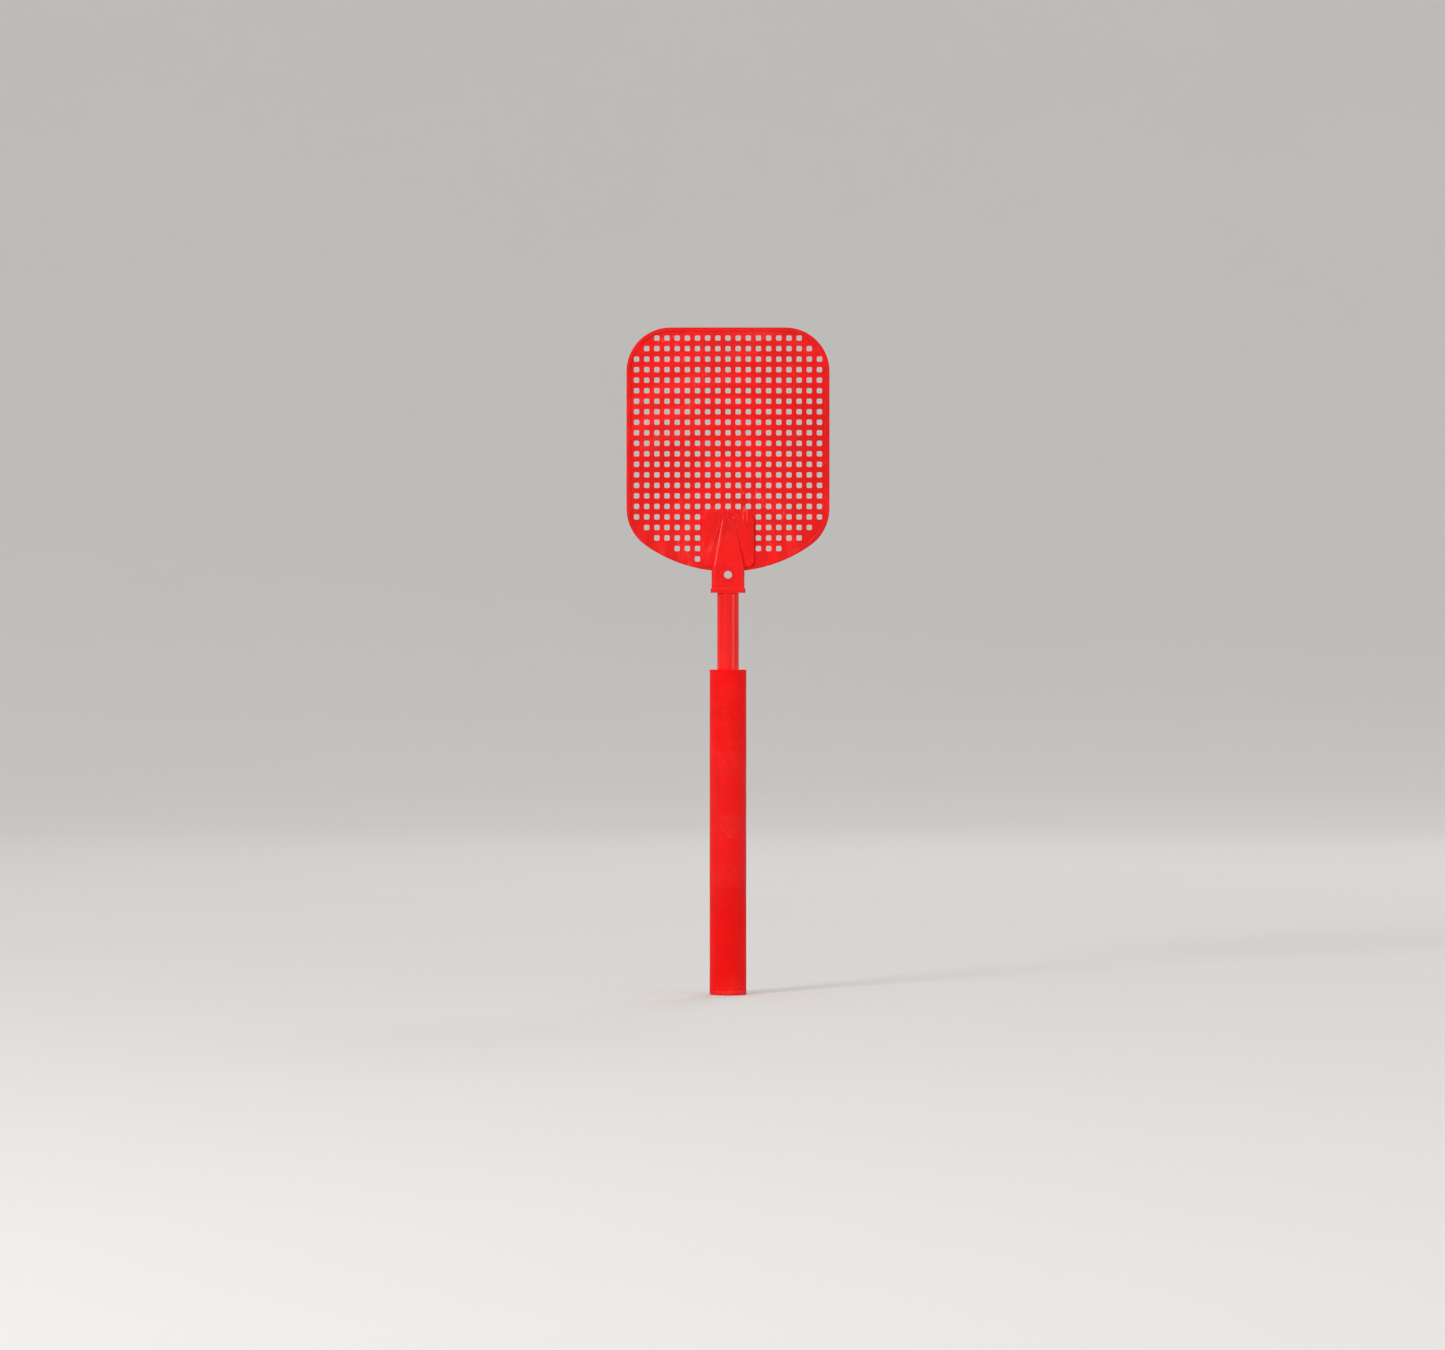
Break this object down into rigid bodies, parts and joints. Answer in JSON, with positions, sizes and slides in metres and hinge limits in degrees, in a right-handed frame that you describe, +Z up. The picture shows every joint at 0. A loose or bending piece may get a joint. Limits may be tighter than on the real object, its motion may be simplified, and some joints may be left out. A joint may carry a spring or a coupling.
{
  "type": "telescopic fly swatter",
  "caption": "Fly swatter with a perforated flexible blade on a telescopic shaft: straight foam grip, outer stem and sliding tubes that friction springs hold at any length.",
  "frame": {"origin": "middle of the grip's flat end face", "axes": "+Z up the shaft towards the blade, +X across the blade, -Y out of the blade's front, on the side of neck_front_shell"},
  "size_m": [0.1014, 0.0186, 0.3335],
  "materials": {
    "blade_plastic": "soft satin polyethylene, moulded",
    "neck_plastic": "hard moulded plastic, satin gloss",
    "eyelet_metal": "lacquered",
    "stem_lacquer": "smooth gloss lacquer",
    "grip_foam": "dense closed-cell foam, matt",
    "plug_plastic": "matt moulded plastic",
    "bright_steel": "drawn bright tube",
    "spring_bronze": "rolled phosphor bronze strip",
    "sleeve_nylon": "natural nylon",
    "stage_plug_plastic": "matt black plastic",
    "buffer_rubber": "soft black rubber"
  },
  "bodies": {
    "grip": {"grip_sleeve": "grip_foam", "grip_end_plug": "plug_plastic", "retraction_buffer": "buffer_rubber", "outer_tube": "stem_lacquer"},
    "stage_two": {"second_tube": "bright_steel", "second_stop_sleeve": "sleeve_nylon", "second_friction_spring": "spring_bronze", "second_end_plug": "stage_plug_plastic"},
    "stage_three": {"third_tube": "bright_steel", "third_stop_sleeve": "sleeve_nylon", "third_friction_spring": "spring_bronze", "third_end_plug": "stage_plug_plastic"},
    "tip_carriage": {"tip_friction_spring": "spring_bronze"},
    "head": {"tip_tube": "bright_steel", "tip_stop_sleeve": "sleeve_nylon", "tip_end_plug": "stage_plug_plastic", "neck_front_shell": "neck_plastic", "neck_rear_shell": "neck_plastic", "neck_eyelet": "eyelet_metal", "eyelet_washer": "eyelet_metal", "blade": "blade_plastic"}
  },
  "joints": [
    {"name": "second_slide", "type": "slide", "parent": "grip", "child": "stage_two", "axis": [0, 0, 1], "range_m": [0, 0.1525]},
    {"name": "third_slide", "type": "slide", "parent": "stage_two", "child": "stage_three", "axis": [0, 0, 1], "range_m": [0, 0.1462]},
    {"name": "tip_slide", "type": "slide", "parent": "stage_three", "child": "tip_carriage", "axis": [0, 0, 1], "range_m": [0, 0.1399]},
    {"name": "head_swivel", "type": "hinge", "parent": "tip_carriage", "child": "head", "pos_m": [0, 0, 0.05], "axis": [0, 0, 1], "continuous": true}
  ]
}
